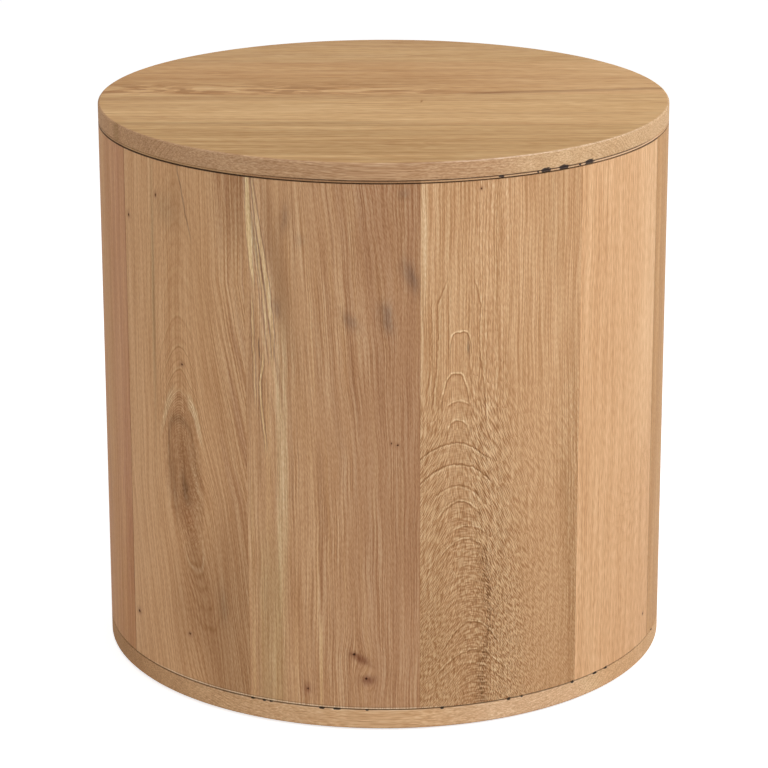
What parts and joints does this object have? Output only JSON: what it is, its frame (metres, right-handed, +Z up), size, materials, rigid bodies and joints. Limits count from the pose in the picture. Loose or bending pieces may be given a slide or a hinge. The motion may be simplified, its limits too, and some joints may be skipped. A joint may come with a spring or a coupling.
{
  "type": "round nightstand with a curved pivot door",
  "caption": "Closed drum nightstand in oak: round top and base, wall of upright leaves, curved push-to-open pivot door, inner shelf.",
  "frame": {"origin": "centre of the round footprint, on the floor under the glides", "axes": "+Z up; -Y out of the front, towards the middle of the door's arc give or take 4 degrees; +X to the right seen from the front"},
  "size_m": [0.56, 0.56, 0.552],
  "materials": {
    "oak_top": "matt oiled oak boards",
    "oak_base": "matt oiled oak boards",
    "oak_leaf": "matt oiled oak leaves",
    "oak_solid": "matt oiled oak",
    "plywood": "oak-faced plywood",
    "zinc_steel": "zinc plated",
    "plate_steel": "brushed",
    "magnet_nickel": "nickel plated",
    "brass": "turned",
    "nylon": "moulded",
    "felt": "pressed felt"
  },
  "bodies": {
    "cabinet": {"top_board_back": "oak_top", "top_board_back_middle": "oak_top", "top_board_front_middle": "oak_top", "top_board_front": "oak_top", "lip_ring": "oak_leaf", "sub_top": "plywood", "top_screws": "zinc_steel", "base_board_back": "oak_base", "base_board_back_middle": "oak_base", "base_board_front_middle": "oak_base", "base_board_front": "oak_base", "inner_deck": "plywood", "base_screws": "zinc_steel", "glides": "nylon", "glide_screws": "zinc_steel", "shell_core": "plywood", "shell_leaf_1": "oak_leaf", "shell_leaf_2": "oak_leaf", "shell_leaf_3": "oak_leaf", "shell_leaf_4": "oak_leaf", "shell_leaf_5": "oak_leaf", "shell_leaf_6": "oak_leaf", "shell_leaf_7": "oak_leaf", "hinge_jamb": "oak_solid", "closing_jamb": "oak_solid", "stop_rail": "oak_solid", "rail_screws": "zinc_steel", "bumper_pads": "felt", "catch_magnets": "magnet_nickel", "shelf": "plywood", "shelf_edge": "oak_solid", "shelf_pins": "zinc_steel", "upper_bush": "brass", "lower_bush": "brass", "thrust_washer": "brass"},
    "door": {"door_core": "plywood", "hinge_stile": "oak_solid", "closing_stile": "oak_solid", "door_leaf_1": "oak_leaf", "door_leaf_2": "oak_leaf", "door_leaf_3": "oak_leaf", "door_leaf_4": "oak_leaf", "upper_pivot_pin": "zinc_steel", "lower_pivot_pin": "zinc_steel", "strike_plates": "plate_steel", "strike_screws": "zinc_steel"}
  },
  "joints": [
    {"name": "door_swing", "type": "hinge", "parent": "cabinet", "child": "door", "pos_m": [-0.20247, -0.17787, 0.2773], "axis": [0, 0, -1], "range_deg": [0, 120]}
  ]
}
